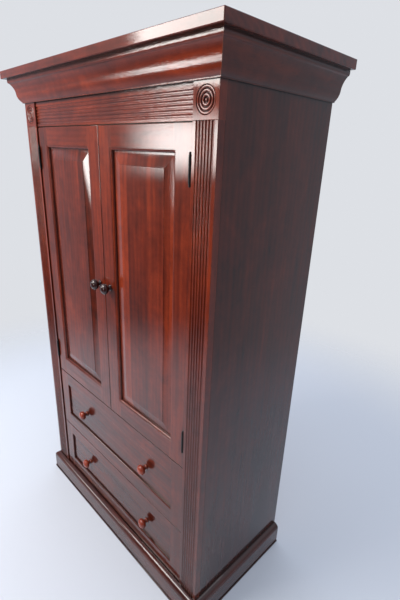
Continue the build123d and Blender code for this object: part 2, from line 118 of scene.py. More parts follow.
def softbox(name, place, aim, width, height, watts, colour, feathered=False):
    """A soft rectangular light, unseen by the camera itself. A feathered one fades towards its edges."""
    data = bpy.data.lights.new(name, "AREA")
    data.shape = "RECTANGLE"
    data.size = width
    data.size_y = height
    data.energy = watts
    data.color = colour
    light = add_object(name, data)
    light.location = place
    light.rotation_mode = "QUATERNION"
    light.rotation_quaternion = (Vector(aim) - Vector(place)).to_track_quat("-Z", "Y")
    light.visible_camera = False
    if feathered:
        data.use_nodes = True
        tree = data.node_tree
        spot = add_node(tree, "ShaderNodeNewGeometry").outputs["Parametric"]
        across = add_node(tree, "ShaderNodeSeparateXYZ", {0: spot})
        strength = 1.0
        for side in ("X", "Y"):
            off_middle = calculated(tree, "SUBTRACT", across.outputs[side], 0.5)
            fall = mapped(tree, calculated(tree, "ABSOLUTE", off_middle), 0.5, 0.1, 0.0, 1.6, smooth=True)
            strength = calculated(tree, "MULTIPLY", fall, strength)
        tree.links.new(strength, tree.nodes["Emission"].inputs["Strength"])


softbox("window", (-3.1, -3.55, 1.84), (0.4, -0.2, 1.7), 2.0, 1.1, 48, (1.0, 0.99, 0.97), True)
softbox("front_light", (-1.0, -2.1, 2.75), (0.1, -0.2, 1.55), 1.6, 1.1, 84, (1.0, 0.97, 0.93))
softbox("tall_light", (-0.45, -3.6, 1.3), (0.35, -0.2, 1.3), 0.8, 2.2, 20, (1.0, 0.96, 0.92), True)
softbox("ceiling_light", (0, 0.3, 4.2), (0, 0.3, 0), 3.5, 3.5, 45, (0.93, 0.965, 1.0))

world = bpy.data.worlds.new("studio")
scene.world = world
world.use_nodes = True
air = world.node_tree
air.nodes.clear()
look = add_node(air, "ShaderNodeTexCoord").outputs["Generated"]
direction = add_node(air, "ShaderNodeSeparateXYZ", {0: look})
round_about = mapped(air, direction.outputs["Y"], -0.66, -0.30, 0.03, 0.50, smooth=True)
overhead = mapped(air, direction.outputs["Z"], 0.1, 0.8, 0.0, 0.5, smooth=True)
total = calculated(air, "ADD", round_about, overhead)
room = add_node(air, "ShaderNodeBackground", {"Color": (0.84, 0.92, 1.06, 1), "Strength": total})
backdrop = add_node(air, "ShaderNodeBackground", {"Color": (0.725, 0.745, 0.785, 1), "Strength": 1.0})
seen = add_node(air, "ShaderNodeLightPath").outputs["Is Camera Ray"]
both = add_node(air, "ShaderNodeMixShader", {0: seen, 1: room.outputs[0], 2: backdrop.outputs[0]})
add_node(air, "ShaderNodeOutputWorld", {0: both.outputs[0]})

floor_radius = 4.0
floor_mesh = bpy.data.meshes.new("floor")
rim = bmesh.new()
bmesh.ops.create_circle(rim, cap_ends=True, radius=floor_radius, segments=64)
rim.to_mesh(floor_mesh)
rim.free()
floor = add_object("floor", floor_mesh)
floor_paint = bpy.data.materials.new("pale_floor")
floor_paint.use_nodes = True
ground = floor_paint.node_tree
ground.nodes.clear()
spot = add_node(ground, "ShaderNodeTexCoord").outputs["Object"]
away = add_node(ground, "ShaderNodeVectorMath", {0: spot}, operation="LENGTH").outputs["Value"]
fade = mapped(ground, away, 1.5, 3.0, 1.0, 0.0, smooth=True)
pale = add_node(ground, "ShaderNodeBsdfDiffuse", {"Color": (0.61, 0.63, 0.68, 1)})
clear = add_node(ground, "ShaderNodeBsdfTransparent")
cover = add_node(ground, "ShaderNodeMixShader", {0: fade, 1: clear.outputs[0], 2: pale.outputs[0]})
add_node(ground, "ShaderNodeOutputMaterial", {0: cover.outputs[0]})
floor_mesh.materials.append(floor_paint)


# ---- Base plate ----
# The thin board under everything, a little wider than the moulding that stands on it. Solid cherry
# like all of the outside: stained red-brown and lacquered, with painted shade in its corners and
# recesses that also stands for stain left there.


def mixed(tree, share, first, second, **settings):
    """The output of a mix of two colours, each a socket or its red, green and blue."""
    colours = [c if isinstance(c, bpy.types.NodeSocket) else (*c, 1) for c in (first, second)]
    inputs = {0: share, 6: colours[0], 7: colours[1]}
    return add_node(tree, "ShaderNodeMix", inputs, data_type="RGBA", **settings).outputs[2]


def stained_wood(
    name, grain, shift, tones, lacquer, board_width=0.0, gloss=0.05, relief_height=0.25, painted_shade_low=False
):
    """Wood with its grain along one axis. tones are dark, middle, light and worn; lacquer is 0 to 1.

    With a board_width, figure and tone change from board to board, counted along X, or along Z where
    the grain runs along X. When asked for, painted shade darkens it to half its tone towards the floor.
    Painted shade also darkens its corners and recesses, standing in part for stain left there.
    """
    material = bpy.data.materials.new(name)
    material.use_nodes = True
    tree = material.node_tree
    wood = tree.nodes["Principled BSDF"]
    place = add_node(tree, "ShaderNodeTexCoord").outputs["Object"]
    turn = {"X": (0, pi / 2, 0), "Y": (pi / 2, 0, 0), "Z": (0, 0, 0)}[grain]
    along = add_node(tree, "ShaderNodeMapping", {0: place, 1: shift, 2: turn}).outputs[0]
    tone_shift = 0.0
    if board_width:
        split = add_node(tree, "ShaderNodeSeparateXYZ", {0: along})
        index = calculated(tree, "FLOOR", calculated(tree, "DIVIDE", split.outputs[0], board_width))
        chance = add_node(tree, "ShaderNodeTexWhiteNoise", {"W": index}, noise_dimensions="1D")
        spread = {0: chance.outputs["Color"], 1: (7.0, 7.0, 7.0)}
        moved = add_node(tree, "ShaderNodeVectorMath", spread, operation="MULTIPLY").outputs[0]
        along = add_node(tree, "ShaderNodeVectorMath", {0: along, 1: moved}, operation="ADD").outputs[0]
        tone_shift = mapped(tree, chance.outputs["Value"], 0.0, 1.0, -0.10, 0.10)

    def noise(scale, stretch, detail, roughness=0.55, distortion=0.0):
        drawn = add_node(tree, "ShaderNodeMapping", {0: along, 3: (1, 1, stretch)})
        inputs = {"Vector": drawn.outputs[0], "Scale": scale, "Detail": detail}
        inputs.update({"Roughness": roughness, "Distortion": distortion})
        return add_node(tree, "ShaderNodeTexNoise", inputs).outputs[0]

    def blend(a, b, share):
        return add_node(tree, "ShaderNodeMix", {0: share, 2: a, 3: b}, data_type="FLOAT").outputs[0]

    rings_place = add_node(tree, "ShaderNodeMapping", {0: along, 1: (0.02, 0.11, 0), 3: (1, 1, 0.07)})
    rings = add_node(
        tree,
        "ShaderNodeTexWave",
        {0: rings_place.outputs[0], "Scale": 16.0, "Distortion": 5.0, "Detail": 3.0, "Detail Scale": 1.4},
        wave_type="RINGS",
        rings_direction="Z",
    ).outputs["Fac"]
    figure = noise(9.0, 0.13, 3.0, 0.5, 0.6)
    streaks = noise(48.0, 0.05, 2.0, 0.5)
    fibres = noise(520.0, 0.03, 3.0)
    ripple = noise(26.0, 1.7, 2.0, 0.5)
    pores = noise(620.0, 0.10, 2.0, 0.7)
    mottle = noise(13.0, 0.45, 3.0, 0.55, 0.8)
    tone = blend(blend(figure, mottle, 0.5), streaks, 0.16)
    tone = blend(tone, rings, 0.05)
    tone = blend(tone, fibres, 0.06)
    tone = blend(tone, ripple, 0.10)
    ramp = add_node(tree, "ShaderNodeValToRGB", {0: calculated(tree, "ADD", tone, tone_shift)})
    dark, middle, light, worn = tones
    stops = ramp.color_ramp.elements
    stops[0].position, stops[0].color = 0.30, (*dark, 1)
    stops[1].position, stops[1].color = 0.72, (*light, 1)
    stop = stops.new(0.49)
    stop.color = (*middle, 1)
    pits = mapped(tree, pores, 0.56, 0.70, 0.0, 0.45, smooth=True)
    pored = mixed(tree, pits, ramp.outputs[0], dark)
    # Painted shade: corners, flutes and recesses are darkened by an occlusion mask, standing in part for
    # stain left there.
    crevice = add_node(tree, "ShaderNodeAmbientOcclusion", {"Distance": 14 * MM}, samples=6)
    shade = mapped(tree, crevice.outputs["AO"], 0.55, 0.95, 0.92, 0.0)
    stain_and_painted_shade = mixed(tree, shade, pored, [c * 0.45 for c in dark])
    arris = add_node(tree, "ShaderNodeAmbientOcclusion", {"Distance": 2.2 * MM}, samples=6, inside=True)
    rubbed = mapped(tree, arris.outputs["AO"], 0.80, 0.35, 0.0, 1.0)
    wear = calculated(tree, "MULTIPLY", rubbed, mapped(tree, ripple, 0.35, 0.65, 0.15, 0.6))
    finished = mixed(tree, wear, stain_and_painted_shade, worn)
    # Painted shade: the colour darkens to half its tone towards the floor.
    if painted_shade_low:
        height = add_node(tree, "ShaderNodeSeparateXYZ", {0: place}).outputs["Z"]
        share = mapped(tree, height, 0.25, 1.35, 0.5, 1.0)
        painted_low_shade = add_node(tree, "ShaderNodeCombineColor", {i: share for i in range(3)}).outputs[0]
        finished = mixed(tree, 1.0, finished, painted_low_shade, blend_type="MULTIPLY")
    tree.links.new(finished, wood.inputs["Base Color"])
    tree.links.new(mapped(tree, streaks, 0.3, 0.7, 0.34, 0.50), wood.inputs["Roughness"])
    wood.inputs["Specular IOR Level"].default_value = 0.06
    worked = {"Strength": 0.25, "Distance": 0.3 * MM, "Height": blend(fibres, pores, 0.5)}
    tree.links.new(add_node(tree, "ShaderNodeBump", worked).outputs[0], wood.inputs["Normal"])
    wood.inputs["Coat Weight"].default_value = lacquer
    wood.inputs["Coat Roughness"].default_value = gloss
    wood.inputs["Coat IOR"].default_value = 1.46
    raised_grain = blend(noise(170.0, 0.12, 2.0, 0.6), pores, 0.35)
    shown = {"Strength": 0.8, "Distance": relief_height * MM, "Height": raised_grain}
    tree.links.new(add_node(tree, "ShaderNodeBump", shown).outputs[0], wood.inputs["Coat Normal"])
    return material


cherry_tones = ((0.034, 0.005, 0.0025), (0.125, 0.015, 0.005), (0.300, 0.038, 0.009), (0.32, 0.08, 0.028))


def cherry(name, grain, shift, board_width=0.0, relief_height=0.25, depth=1.0):
    """The polished outside finish, made darker towards the floor by painted shade. A depth below 1 darkens
    all its tones.
    """
    tones = [[c * depth for c in tone] for tone in cherry_tones]
    return stained_wood(
        name, grain, shift, tones, 1.0, board_width, relief_height=relief_height, painted_shade_low=True
    )


def finish(name, mesh, material, body, nodes):
    """Puts a finished mesh in the scene on its body, in place of its plain solids."""
    mesh.materials.clear()
    mesh.materials.append(material)
    piece = add_object(name, mesh)
    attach(piece, body)
    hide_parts(*nodes)
    return piece


def closed_mesh(name, points, faces, ease=0.0, steps=2):
    """A closed mesh from points and faces, with its sharp arrises eased over to a small radius."""
    mesh = bpy.data.meshes.new(name)
    mesh.from_pydata([tuple(p) for p in points], [], faces)
    return eased(mesh, ease, steps)


def smooth_curves(mesh):
    """Shades the moulded stretches of a mesh smooth, up to its arrises and its square faces."""
    work = bmesh.new()
    work.from_mesh(mesh)
    for face in work.faces:
        face.smooth = True
    for edge in work.edges:
        angle = edge.calc_face_angle(0.0)
        squares = [max(abs(c) for c in face.normal) > 0.9999 for face in edge.link_faces]
        edge.smooth = angle < radians(35) and (angle < radians(1) or not any(squares))
    work.to_mesh(mesh)
    work.free()


def modified(holder):
    """The plain mesh that an object's modifiers make of its own."""
    bpy.context.view_layer.update()
    return bpy.data.meshes.new_from_object(holder.evaluated_get(bpy.context.evaluated_depsgraph_get()))


def eased(mesh, ease, steps=2):
    """Rounds the sharp arrises of a closed mesh and shades its round parts smooth."""
    work = bmesh.new()
    work.from_mesh(mesh)
    bmesh.ops.remove_doubles(work, verts=work.verts, dist=0.002 * MM)
    bmesh.ops.recalc_face_normals(work, faces=work.faces)
    work.to_mesh(mesh)
    work.free()
    smooth_curves(mesh)
    if not ease:
        return mesh
    holder = add_object(mesh.name, mesh)
    rounding = holder.modifiers.new("ease", "BEVEL")
    rounding.width = ease
    rounding.segments = steps
    rounding.limit_method = "ANGLE"
    rounding.angle_limit = radians(38)
    rounding.harden_normals = True
    rounding.miter_outer = "MITER_ARC"
    done = modified(holder)
    done.name = mesh.name
    bpy.data.objects.remove(holder)
    return done


def prism(name, outline, axis, start, end, ease=0.0, steps=2):
    """An outline of two coordinates pulled along the third axis. axis is 0, 1 or 2."""
    others = [i for i in range(3) if i != axis]
    points = []
    for level in (start, end):
        for u, v in outline:
            point = [0.0, 0.0, 0.0]
            point[axis] = level
            point[others[0]] = u
            point[others[1]] = v
            points.append(point)
    count = len(outline)
    faces = [tuple(range(count)), tuple(range(count, 2 * count))]
    for i in range(count):
        j = (i + 1) % count
        faces.append((i, j, count + j, count + i))
    return closed_mesh(name, points, faces, ease, steps)


def board(name, node, material, body, ease):
    """A plain board as large as its solid, with eased arrises."""
    low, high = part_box(node)
    outline = [(low.x, low.y), (high.x, low.y), (high.x, high.y), (low.x, high.y)]
    return finish(name, prism(name, outline, 2, low.z, high.z, ease), material, body, [node])


# The low boards take darker tones as painted shade.
cherry_across = cherry("cherry_across", "X", (0.3, 0.1, 0.2), depth=0.7)
board("base_board", "base_plate", cherry_across, "carcase", 1.2 * MM)
board("plinth_board", "plinth_rail", cherry_across, "carcase", 0.5 * MM)


# ---- Base moulding ----
# Three lengths run on a spindle moulder: a flat face under a quarter round. Mitred at the front
# corners, glued and pinned to the carcase.


def arc(centre, radius, start, end, steps):
    """Points of an arc between two angles in degrees, ends included."""
    angles = [radians(start + (end - start) * i / steps) for i in range(steps + 1)]
    return [(centre[0] + radius * cos(a), centre[1] + radius * sin(a)) for a in angles]


carcase_low, carcase_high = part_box("head_rail")
side_x = carcase_high.x
face_y = carcase_low.y
rear_y = cad_high.y


def mitred_lengths(section, names, nodes, materials):
    """A section (projection, height) run along the front and back along both sides, with mitres."""
    count = len(section)
    runs = {
        "front": lambda u, v, far: ((side_x + u) * (1 if far else -1), face_y - u, v),
        "left": lambda u, v, far: (-side_x - u, rear_y if far else face_y - u, v),
        "right": lambda u, v, far: (side_x + u, rear_y if far else face_y - u, v),
    }
    for run, place in runs.items():
        points = [place(u, v, far) for far in (False, True) for u, v in section]
        faces = [tuple(range(count)), tuple(range(count, 2 * count))]
        faces += [(i, (i + 1) % count, count + (i + 1) % count, count + i) for i in range(count)]
        mesh = closed_mesh(names + run, points, faces)
        finish(names + run, mesh, materials[run], "carcase", [nodes + run])


base_low, base_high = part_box("base_moulding_front")
base_reach = face_y - base_low.y
base_shoulder = base_high.z - base_reach
arris = 0.8 * MM
base_section = [(0, base_low.z), (base_reach, base_low.z), (base_reach, base_shoulder - arris)]
base_section += arc((0, base_shoulder), base_reach, 3, 90, 16)

cherry_front = cherry("cherry_front", "X", (1.7, 0.4, 0.9), relief_height=0.6)
cherry_back = {}
# Darker copies of the finish as painted shade: the base moulding all round, and the side runs of the crown.
cherry_base = {"front": cherry("cherry_base_front", "X", (1.2, 0.7, 0.1), depth=0.7)}
for i, side in enumerate(("left", "right")):
    cherry_back[side] = cherry(f"cherry_back_{side}", "Y", (2.1 + i, 0.8, 0.3), depth=0.6)
    cherry_base[side] = cherry(f"cherry_base_{side}", "Y", (4.6 + i, 0.2, 0.9), depth=0.7)
mitred_lengths(base_section, "base_moulding_run_", "base_moulding_", cherry_base)


# ---- Sides, back and fixed boards ----
# Each side is one wide panel, rabbeted for a thin plywood back. The drawer and wardrobe floors, the
# ceiling and the rail between the drawers are lighter solid boards with a plain satin coat.

# The sides take a darker copy of the finish as painted shade.
cherry_up = {
    side: cherry(f"cherry_up_{side}", "Z", (0.9 * i, 2.2, 0.5 + i), 0.118, depth=0.62)
    for i, side in enumerate(("left", "right"))
}


def own_shape(node):
    """A merged copy of a solid's own mesh, with flat areas in single faces."""
    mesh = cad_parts[node].data.copy()
    work = bmesh.new()
    work.from_mesh(mesh)
    bmesh.ops.remove_doubles(work, verts=work.verts, dist=0.01 * MM)
    bmesh.ops.dissolve_limit(work, angle_limit=radians(1), verts=work.verts, edges=work.edges)
    work.to_mesh(mesh)
    work.free()
    mesh.normals_split_custom_set_from_vertices([(0, 0, 0)] * len(mesh.vertices))
    return mesh


for side, material in cherry_up.items():
    mesh = eased(own_shape(f"{side}_side"), 0.6 * MM)
    finish(f"{side}_side_panel", mesh, material, "carcase", [f"{side}_side"])

satin_tones = ((0.22, 0.095, 0.040), (0.36, 0.17, 0.075), (0.50, 0.27, 0.13), (0.55, 0.33, 0.18))


def plain_board_finish(name, grain, shift, board_width=0.0):
    """The thin satin finish of the inside."""
    return stained_wood(name, grain, shift, satin_tones, 0.35, board_width, 0.3)


inside_across = plain_board_finish("inside_across", "X", (0.2, 1.3, 0.6), 0.14)
board("drawer_floor", "bottom_board", inside_across, "carcase", 0.6 * MM)
board("wardrobe_floor_board", "wardrobe_floor", inside_across, "carcase", 0.6 * MM)
board("ceiling", "ceiling_board", inside_across, "carcase", 0.6 * MM)
board("divider_rail", "drawer_divider_rail", inside_across, "carcase", 0.6 * MM)

ply_tones = ((0.30, 0.165, 0.080), (0.42, 0.25, 0.13), (0.52, 0.33, 0.18), (0.50, 0.32, 0.18))
plywood = stained_wood("plywood", "Z", (0.4, 0.2, 3.1), ply_tones, 0.12, 0.42, 0.4)
board("back_sheet", "back_panel", plywood, "carcase", 0.3 * MM)


# ---- Pilasters and frieze ----
# Uprights and a cross rail with six hollow flutes cut side by side over their whole length, and
# narrow flats left between them. Glued and pinned to the front edges of the carcase.

flute_count = 6
flute_pitch = 11.2 * MM
flute_width = 9.0 * MM
flute_depth = 2.6 * MM


def fluted_edge(start, end, middle, face, into):
    """Points across a fluted face from start to end, with the flutes centred on middle."""
    radius = (flute_depth**2 + (flute_width / 2) ** 2) / (2 * flute_depth)
    reach = atan2(flute_width / 2, radius - flute_depth)
    points = [(start, face)]
    for i in range(flute_count):
        centre = middle + (i - (flute_count - 1) / 2) * flute_pitch
        for step in range(11):
            angle = reach * (step / 5 - 1)
            depth = radius * cos(angle) - radius + flute_depth
            points.append((centre + radius * sin(angle), face + into * depth))
    points.append((end, face))
    return points


cherry_post = {
    side: cherry(f"cherry_post_{side}", "Z", (3.1 + i, 0.6, 1.9 - i))
    for i, side in enumerate(("left", "right"))
}
for side, material in cherry_post.items():
    low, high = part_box(f"{side}_pilaster")
    middle = (low.x + high.x) / 2
    outline = fluted_edge(low.x, high.x, middle, low.y, 1)
    outline += [(high.x, high.y), (low.x, high.y)]
    mesh = prism(f"{side}_fluted_post", outline, 2, low.z, high.z, 0.9 * MM, 3)
    finish(f"{side}_fluted_post", mesh, material, "carcase", [f"{side}_pilaster"])

low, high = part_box("frieze")
band = 8 * MM
middle = low.z + band + flute_width / 2 + flute_pitch * (flute_count - 1) / 2
profile = fluted_edge(low.z, high.z, middle, low.y, 1)
outline = [(y, z) for z, y in profile] + [(high.y, high.z), (high.y, low.z)]
mesh = prism("fluted_frieze", outline, 0, low.x, high.x, 0.5 * MM)
finish("fluted_frieze", mesh, cherry_front, "carcase", ["frieze"])


# ---- Corner blocks ----
# Square cherry blocks, each turned on the lathe with a button and three reeded rings inside a
# shallow dish. Glued above the pilasters, at the ends of the frieze.

roundel_radius = 34.5 * MM
roundel_depth = 4.5 * MM
roundel_crest = 0.3 * MM
ring_places = (11.2 * MM, 20.8 * MM, 30.0 * MM)
ring_half = 4.3 * MM
button_radius = 5.4 * MM
dish_lip = 1.2 * MM
roundel_segments = 96
block_ease = 1.0 * MM


def roundel_profile():
    """Radius and depth of the turned face, from the centre out."""
    rise = roundel_depth - roundel_crest
    profile = []
    for i in range(1, 7):
        angle = pi / 2 * i / 6
        profile.append((button_radius * sin(angle), roundel_depth - rise * cos(angle)))
    for place in ring_places:
        for i in range(13):
            angle = pi * i / 12
            profile.append((place - ring_half * cos(angle), roundel_depth - rise * sin(angle)))
    profile.append((roundel_radius - dish_lip, roundel_depth))
    profile.append((roundel_radius - dish_lip / 3, roundel_depth * 0.35))
    profile.append((roundel_radius, 0.0))
    return profile


def corner_block(low, high):
    """Points and faces of a block whose face at low.y carries the roundel."""
    centre = (low + high) / 2
    half = (high.x - low.x) / 2
    points = [Vector((centre.x, low.y + roundel_crest, centre.z))]
    angles = [2 * pi * i / roundel_segments for i in range(roundel_segments)]
    for radius, depth in roundel_profile():
        for a in angles:
            points.append(Vector((centre.x + radius * cos(a), low.y + depth, centre.z + radius * sin(a))))
    squares = (
        (half - block_ease, 0),
        (half - block_ease * 0.3, block_ease * 0.3),
        (half, block_ease),
        (half, high.y - low.y),
    )
    for size, depth in squares:
        for a in angles:
            reach = size / max(abs(cos(a)), abs(sin(a)))
            points.append(Vector((centre.x + reach * cos(a), low.y + depth, centre.z + reach * sin(a))))
    rings = (len(points) - 1) // roundel_segments
    faces = [(0, 1 + (i + 1) % roundel_segments, 1 + i) for i in range(roundel_segments)]
    for ring in range(rings - 1):
        inner = 1 + ring * roundel_segments
        outer = inner + roundel_segments
        for i in range(roundel_segments):
            j = (i + 1) % roundel_segments
            faces.append((inner + i, inner + j, outer + j, outer + i))
    faces.append(tuple(range(len(points) - roundel_segments, len(points))))
    return points, faces


block_low, block_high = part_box("corner_blocks")
post_low, post_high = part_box("right_pilaster")
block_points, block_faces = [], []
for sign in (-1, 1):
    xs = sorted((sign * post_low.x, sign * post_high.x))
    block_start = Vector((xs[0], block_low.y, block_low.z))
    block_end = Vector((xs[1], block_high.y, block_high.z))
    points, faces = corner_block(block_start, block_end)
    start = len(block_points)
    block_points += points
    block_faces += [tuple(start + i for i in face) for face in faces]
cherry_block = cherry("cherry_block", "Z", (5.3, 1.1, 0.4))
mesh = closed_mesh("roundel_blocks", block_points, block_faces)
finish("roundel_blocks", mesh, cherry_block, "carcase", ["corner_blocks"])


# ---- Head rail and crown ----
# A rail ties the tops of the posts. The crown is a wide cove between a reed and a nose, run in
# three lengths, mitred at the front corners and glued up under the top board.

board("head_board", "head_rail", cherry_front, "carcase", 0.8 * MM)

crown_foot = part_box("crown_front")[0].z


def bowed(start, end, sagitta, steps):
    """Points along a shallow arc between two points, start left out. A positive sagitta bows right."""
    chord = Vector(end) - Vector(start)
    side_way = Vector((chord.y, -chord.x)).normalized()
    points = []
    for i in range(1, steps + 1):
        t = i / steps
        points.append(tuple(Vector(start) + chord * t + side_way * sagitta * 4 * t * (1 - t)))
    return points


def crown_at(projection, height):
    """A point of the crown's section: projection from the carcase, height above the crown's foot."""
    return (projection * MM, crown_foot + height * MM)


crown_section = [crown_at(0, 0), crown_at(6.1, 0), crown_at(6.5, 0.4), crown_at(6.5, 3)]
crown_section += bowed(crown_section[-1], crown_at(22, 30), 2.8 * MM, 12)
crown_section += bowed(crown_section[-1], crown_at(39, 70), -3.8 * MM, 16)
crown_section += bowed(crown_section[-1], crown_at(44.5, 78), 1.9 * MM, 8)
crown_section += [crown_at(44.5, 86), crown_at(0, 86)]
mitred_lengths(crown_section, "crown_run_", "crown_", {"front": cherry_front, **cherry_back})


# ---- Top board ----
# One broad board that reaches out past the crown, with its edges rounded over. Screwed down from
# below, so that its top shows nothing but wood.

cherry_top = cherry("cherry_top", "X", (4.2, 2.7, 0.1), 0.15)
low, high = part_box("top_board")
outline = [(low.x, low.y), (high.x, low.y), (high.x, high.y), (low.x, high.y)]
mesh = prism("top", outline, 2, low.z, high.z, 2.5 * MM, 4)
finish("top", mesh, cherry_top, "carcase", ["top_board"])


# ---- Doors ----
# Each door is a mortised frame of two stiles and two rails round a floating raised panel. The inner
# edges of the frame carry a quarter round, and the panel is bevelled on all four sides.

front_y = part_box("left_door_stiles")[0].y
front_back_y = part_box("left_door_stiles")[1].y
stile_width = 65 * MM
door_top_rail = 66 * MM
door_bottom_rail = 76 * MM
sticking_step = 1.0 * MM
sticking_round = 8.0 * MM
sticking_wall = 1.5 * MM
edge_round = 1.5 * MM
face_ease = 0.4 * MM
sides = {"left": -1, "right": 1}
hinge_height = 76 * MM
leaf_thickness = 1.5 * MM
leaf_width = 18 * MM
mortise_overrun = 5 * MM


def grown(limits, margin):
    """A rectangle (x0, z0, x1, z1) made larger all round."""
    return (limits[0] - margin, limits[1] - margin, limits[2] + margin, limits[3] + margin)


def rectangle_rings(name, rings, capped, ease=0.0):
    """A mesh through rectangles, each (limits, y). capped closes its ends; otherwise it joins them."""
    points, faces = [], []
    for limits, y in rings:
        x0, z0, x1, z1 = limits
        points += [(x0, y, z0), (x1, y, z0), (x1, y, z1), (x0, y, z1)]
    pairs = list(zip(range(len(rings) - 1), range(1, len(rings))))
    if capped:
        faces += [(0, 1, 2, 3), tuple(4 * (len(rings) - 1) + i for i in range(4))]
    else:
        pairs.append((len(rings) - 1, 0))
    for a, b in pairs:
        faces += [(4 * a + i, 4 * a + (i + 1) % 4, 4 * b + (i + 1) % 4, 4 * b + i) for i in range(4)]
    return closed_mesh(name, points, faces, ease)


def cut_away(mesh, x, keep_right):
    """Cuts a closed mesh at a plane across X and closes it again."""
    work = bmesh.new()
    work.from_mesh(mesh)
    parts = work.verts[:] + work.edges[:] + work.faces[:]
    bmesh.ops.bisect_plane(
        work,
        geom=parts,
        plane_co=(x, 0, 0),
        plane_no=(1, 0, 0),
        clear_outer=not keep_right,
        clear_inner=keep_right,
    )
    rims = [edge for edge in work.edges if edge.is_boundary]
    bmesh.ops.holes_fill(work, edges=rims, sides=0)
    work.to_mesh(mesh)
    work.free()
    return mesh


def joined(meshes):
    """Several meshes made one."""
    work = bmesh.new()
    for mesh in meshes:
        work.from_mesh(mesh)
    together = bpy.data.meshes.new(meshes[0].name)
    work.to_mesh(together)
    work.free()
    return together


def stiles_and_rails(name, outline, clear, inner):
    """The frame of a front in two meshes. inner is the section of its inner edge, each (margin, depth)."""
    angles = [radians(a) for a in range(90, -1, -15)]
    turn = [(edge_round * (1 - sin(a)), edge_round * (1 - cos(a))) for a in angles]
    rings = [(outline, front_back_y)] + [(grown(outline, -m), front_y + d) for m, d in turn]
    rings += [(grown(clear, m), front_y + d) for m, d in inner]
    rings.append((clear, front_back_y))
    whole = rectangle_rings(name, rings, False)
    joint = 0.02 * MM
    stiles = [
        cut_away(whole.copy(), clear[0] + joint, False),
        cut_away(whole.copy(), clear[2] - joint, True),
    ]
    rails = cut_away(cut_away(whole, clear[0] + joint, True), clear[2] - joint, False)
    frame_meshes = [joined(stiles), rails]
    for mesh in frame_meshes:
        smooth_curves(mesh)
    return frame_meshes


def mortised(mesh, boxes):
    """A mesh with boxes, each (low, high), cut out of it."""
    host = add_object("host", mesh)
    cutters = []
    for i, (low, high) in enumerate(boxes):
        outline = [(low[0], low[1]), (high[0], low[1]), (high[0], high[1]), (low[0], high[1])]
        cutter = add_object(f"cutter_{i}", prism(f"cutter_{i}", outline, 2, low[2], high[2]))
        cut = host.modifiers.new("mortise", "BOOLEAN")
        cut.object = cutter
        cut.solver = "EXACT"
        cutters.append(cutter)
    done = modified(host)
    for made in [host, *cutters]:
        bpy.data.objects.remove(made)
    smooth_curves(done)
    return done


def hinge_levels(side):
    """The heights of the middles of a door's two hinges."""
    low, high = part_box(f"{side}_door_hinge_leaves")
    return (low.z + hinge_height / 2, high.z - hinge_height / 2)


panel_rim = 6 * MM
panel_bevel = 36 * MM
field_depth = 2.2 * MM
field_step = 1.2 * MM
tongue_reach = 7 * MM
tongue_thickness = 6 * MM
panel_depth = sticking_step + sticking_round + sticking_wall

for side, sign in sides.items():
    low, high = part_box(f"{side}_door_stiles")
    outline = (low.x, low.z, high.x, high.z)
    edge = (low.x + stile_width, low.z + door_bottom_rail, high.x - stile_width, high.z - door_top_rail)
    reach = sticking_round + sticking_wall
    clear = grown(edge, -reach)
    inner = [(reach + face_ease, 0), (reach, face_ease), (reach, sticking_step)]
    inner.append((sticking_round, sticking_step))
    for angle in range(10, 91, 10):
        a = radians(angle)
        inner.append((sticking_round * (1 - sin(a)), sticking_step + sticking_round * (1 - cos(a))))
    stile_mesh, rail_mesh = stiles_and_rails(f"{side}_door_frame", outline, clear, inner)
    outer_x = sign * max(abs(low.x), abs(high.x))
    boxes = []
    for level in hinge_levels(side):
        xs = sorted((outer_x - sign * leaf_thickness, outer_x + sign * mortise_overrun))
        boxes.append((
            (xs[0], front_y - mortise_overrun, level - hinge_height / 2),
            (xs[1], front_y + leaf_width, level + hinge_height / 2),
        ))
    stile_mesh = mortised(stile_mesh, boxes)
    cherry_stile = cherry(f"cherry_stile_{side}", "Z", (6.1 + sign, 0.3, 1.4 * sign))
    cherry_rail = cherry(f"cherry_rail_{side}", "X", (2.6 + sign, 1.9, 0.7))
    cherry_field = cherry(f"cherry_field_{side}", "Z", (8.4 + sign, 0.9, 2.2 * sign), 0.105)
    body = f"{side}_door"
    finish(f"{side}_door_uprights", stile_mesh, cherry_stile, body, [f"{side}_door_stiles"])
    finish(f"{side}_door_cross_rails", rail_mesh, cherry_rail, body, [f"{side}_door_rails"])
    foot = grown(clear, -panel_rim)
    field = grown(foot, -panel_bevel)
    rings = [
        (grown(clear, tongue_reach), front_y + panel_depth + tongue_thickness),
        (grown(clear, tongue_reach), front_y + panel_depth),
        (foot, front_y + panel_depth),
        (field, front_y + field_depth + field_step),
        (field, front_y + field_depth),
    ]
    panel_mesh = rectangle_rings(f"{side}_raised_panel", rings, True, 0.35 * MM)
    finish(f"{side}_raised_panel", panel_mesh, cherry_field, body, [f"{side}_door_panel"])


# ---- Hinges ----
# Iron butt hinges, blackened: five knuckles on a loose pin with ball tips. One leaf is let into the
# door's edge, the other lies on the pilaster's inner edge, and each is held by three screws.


